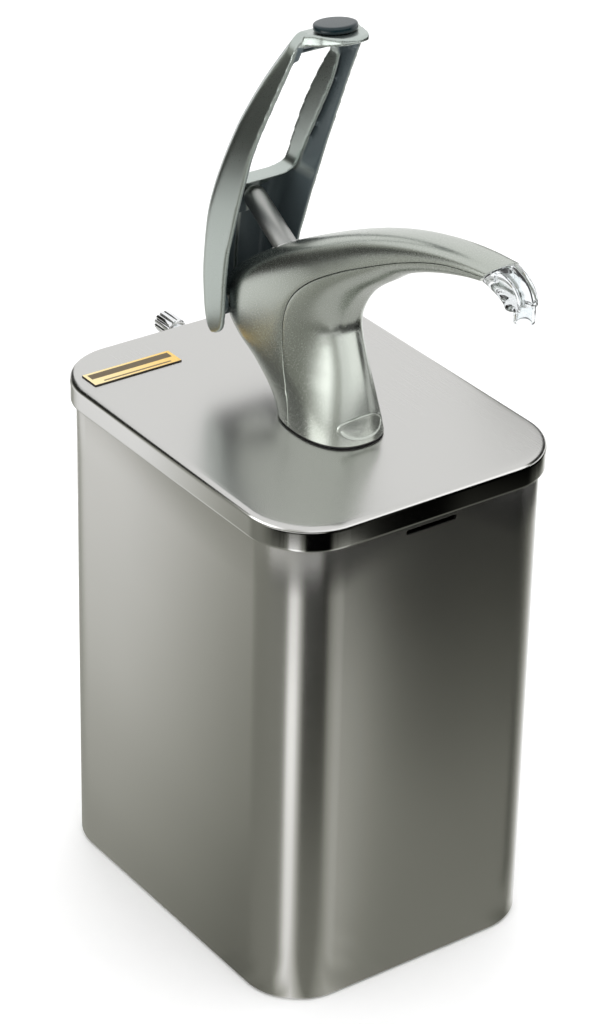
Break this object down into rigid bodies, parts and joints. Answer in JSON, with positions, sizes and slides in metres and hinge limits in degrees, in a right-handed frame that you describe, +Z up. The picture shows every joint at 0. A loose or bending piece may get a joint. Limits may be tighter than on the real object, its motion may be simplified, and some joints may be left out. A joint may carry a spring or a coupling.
{
  "type": "condiment pump dispenser",
  "caption": "Rectangular steel condiment container with a lift-off lid and a hand lever pump whose swan-neck spout ends in a clear down-turned nozzle.",
  "frame": {"origin": "centre of the container's underside", "axes": "+Z up; the spout points along -Y; +X to the right for someone who stands in front of the spout"},
  "size_m": [0.17, 0.3003, 0.4848],
  "materials": {
    "container_steel": "satin, fine horizontal grain",
    "lid_steel": "satin, fine grain",
    "satin_steel": "satin",
    "plain_steel": "plain turned",
    "chrome_knob": "bright",
    "pewter": "satin metallic, faint grain",
    "label": "printed film, satin",
    "black_cap": "satin top, glossy side",
    "black_rubber": "matt",
    "white_plastic": "moulded",
    "clear_plastic": "clear moulded plastic"
  },
  "bodies": {
    "container": {"container_shell": "container_steel"},
    "lid": {"lid_cap": "lid_steel", "label_plate": "label", "lock_nut": "plain_steel", "body_back_cover": "pewter", "body_front_shell": "pewter", "badge_plate": "pewter", "base_gasket": "black_rubber", "barrel": "white_plastic", "rod_gland": "satin_steel", "return_spring": "plain_steel", "inlet_stem": "white_plastic", "inlet_seat": "black_rubber", "stem_washer": "plain_steel", "stem_nut": "white_plastic", "suction_tube": "white_plastic", "base_screw_front": "plain_steel", "base_screw_back": "plain_steel", "outlet_housing": "white_plastic", "outlet_seat": "black_rubber", "spout_tube": "plain_steel", "nozzle": "clear_plastic", "pivot_pin": "plain_steel"},
    "handle": {"handle_shell": "pewter", "handle_disc": "black_cap", "pivot_bush_left": "white_plastic", "pivot_bush_right": "white_plastic"},
    "piston": {"piston_rod": "satin_steel", "piston_cup": "white_plastic", "piston_seal": "black_rubber"},
    "lock": {"lock_knob": "chrome_knob", "lock_screw": "plain_steel"},
    "inlet_valve_ball": {"inlet_ball": "plain_steel"},
    "outlet_valve_ball": {"outlet_ball": "plain_steel"}
  },
  "joints": [
    {"name": "lid_lift", "type": "slide", "parent": "container", "child": "lid", "axis": [0, 0, 1], "range_m": [0, 0.27]},
    {"name": "handle_pivot", "type": "hinge", "parent": "lid", "child": "handle", "pos_m": [0, 0.05, 0.318], "axis": [1, 0, 0], "range_deg": [0, 28], "stiffness_Nm_per_rad": 2.1, "springref_deg": -25.78},
    {"name": "piston_slide", "type": "slide", "parent": "lid", "child": "piston", "axis": [0, -0.8616, -0.5075], "range_m": [0, 0.0265], "deforming": ["return_spring"]},
    {"name": "lock_knob_turn", "type": "hinge", "parent": "lid", "child": "lock", "pos_m": [0, 0.109, 0.2693], "axis": [0, 1, 0], "continuous": true},
    {"name": "inlet_ball_lift", "type": "slide", "parent": "lid", "child": "inlet_valve_ball", "axis": [0, 0, 1], "range_m": [0, 0.003]},
    {"name": "outlet_ball_lift", "type": "slide", "parent": "lid", "child": "outlet_valve_ball", "axis": [0, -0.5075, 0.8616], "range_m": [0, 0.0024]}
  ],
  "couplings": [
    {"joint": "piston_slide", "follows": "handle_pivot", "m_per_rad": 0.054}
  ]
}
